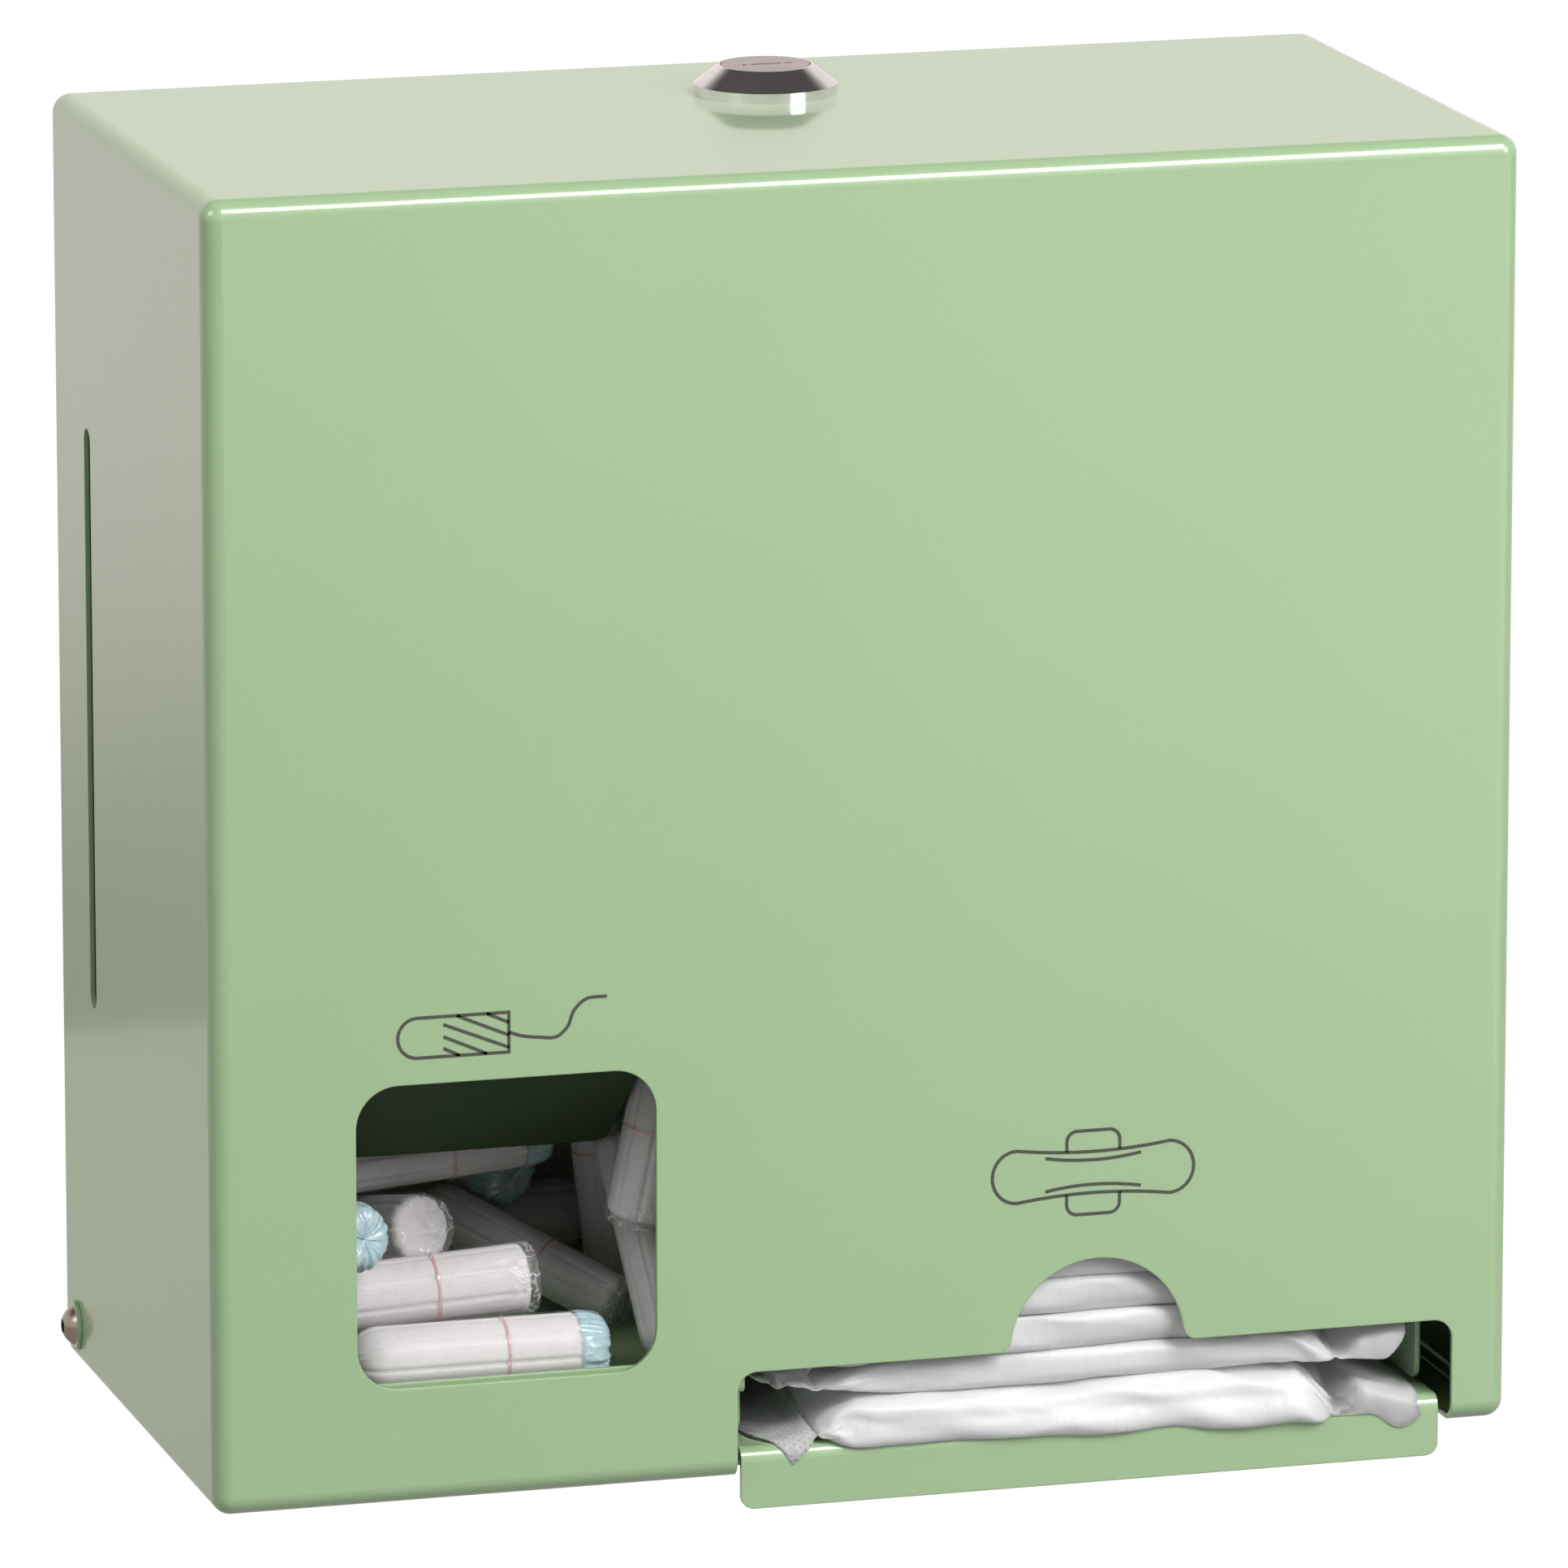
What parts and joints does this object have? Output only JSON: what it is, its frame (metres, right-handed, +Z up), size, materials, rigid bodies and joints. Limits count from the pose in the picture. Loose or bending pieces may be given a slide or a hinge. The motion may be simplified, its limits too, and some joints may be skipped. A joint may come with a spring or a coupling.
{
  "type": "sanitary pad dispenser",
  "caption": "Wall dispenser in folded steel: wrapped pads stacked over a front slot, tampons in a hopper behind a window, and a hinged cover with a cam lock.",
  "frame": {"origin": "on the wall plane, at the back plate's rear face, at the middle of the cover's width and height", "axes": "+Z up; the front faces -Y; +X is to the right for someone who stands in front of it"},
  "size_m": [0.2558, 0.12, 0.2571],
  "materials": {
    "green_powder_coat": "glossy powder coat",
    "zinc_plated_steel": "bright zinc plate",
    "stainless_steel": "plain stainless",
    "lock_chrome": "polished chrome plate",
    "pad_wrap": "soft matt wrapper",
    "tampon_wrap": "cotton under clear film, with a tinted foil end"
  },
  "bodies": {
    "chassis": {"back_plate": "green_powder_coat", "pad_channel": "green_powder_coat", "pad_tray": "green_powder_coat", "hopper_side": "green_powder_coat", "hopper_front": "green_powder_coat", "hopper_floor": "green_powder_coat", "lock_strike": "zinc_plated_steel", "flush_rivets": "zinc_plated_steel", "domed_rivets": "zinc_plated_steel", "rivet_nuts": "zinc_plated_steel", "hinge_screws": "stainless_steel", "hinge_washers": "stainless_steel", "pad_02": "pad_wrap", "pad_03": "pad_wrap", "pad_04": "pad_wrap", "pad_05": "pad_wrap", "pad_06": "pad_wrap", "pad_07": "pad_wrap", "pad_08": "pad_wrap", "pad_09": "pad_wrap", "pad_10": "pad_wrap", "pad_11": "pad_wrap", "pad_12": "pad_wrap", "pad_13": "pad_wrap", "pad_14": "pad_wrap", "tampon_01": "tampon_wrap", "tampon_02": "tampon_wrap", "tampon_03": "tampon_wrap", "tampon_04": "tampon_wrap", "tampon_05": "tampon_wrap", "tampon_06": "tampon_wrap", "tampon_07": "tampon_wrap", "tampon_08": "tampon_wrap", "tampon_09": "tampon_wrap", "tampon_10": "tampon_wrap", "tampon_11": "tampon_wrap", "tampon_12": "tampon_wrap", "tampon_13": "tampon_wrap"},
    "cover": {"cover": "green_powder_coat", "lock_body": "lock_chrome", "lock_nut": "zinc_plated_steel", "lock_washer": "zinc_plated_steel"},
    "lock": {"lock_plug": "lock_chrome", "lock_cam": "zinc_plated_steel", "cam_screw": "zinc_plated_steel"},
    "bottom_pad": {"pad_01": "pad_wrap"}
  },
  "joints": [
    {"name": "cover_hinge", "type": "hinge", "parent": "chassis", "child": "cover", "pos_m": [0, -0.0084, -0.1145], "axis": [1, 0, 0], "range_deg": [0, 88]},
    {"name": "lock_turn", "type": "hinge", "parent": "cover", "child": "lock", "pos_m": [0.004, -0.036, 0.1225], "axis": [0, 0, -1], "range_deg": [0, 90]},
    {"name": "pad_slide", "type": "slide", "parent": "chassis", "child": "bottom_pad", "axis": [0, -1, 0], "range_m": [0, 0.09]}
  ]
}
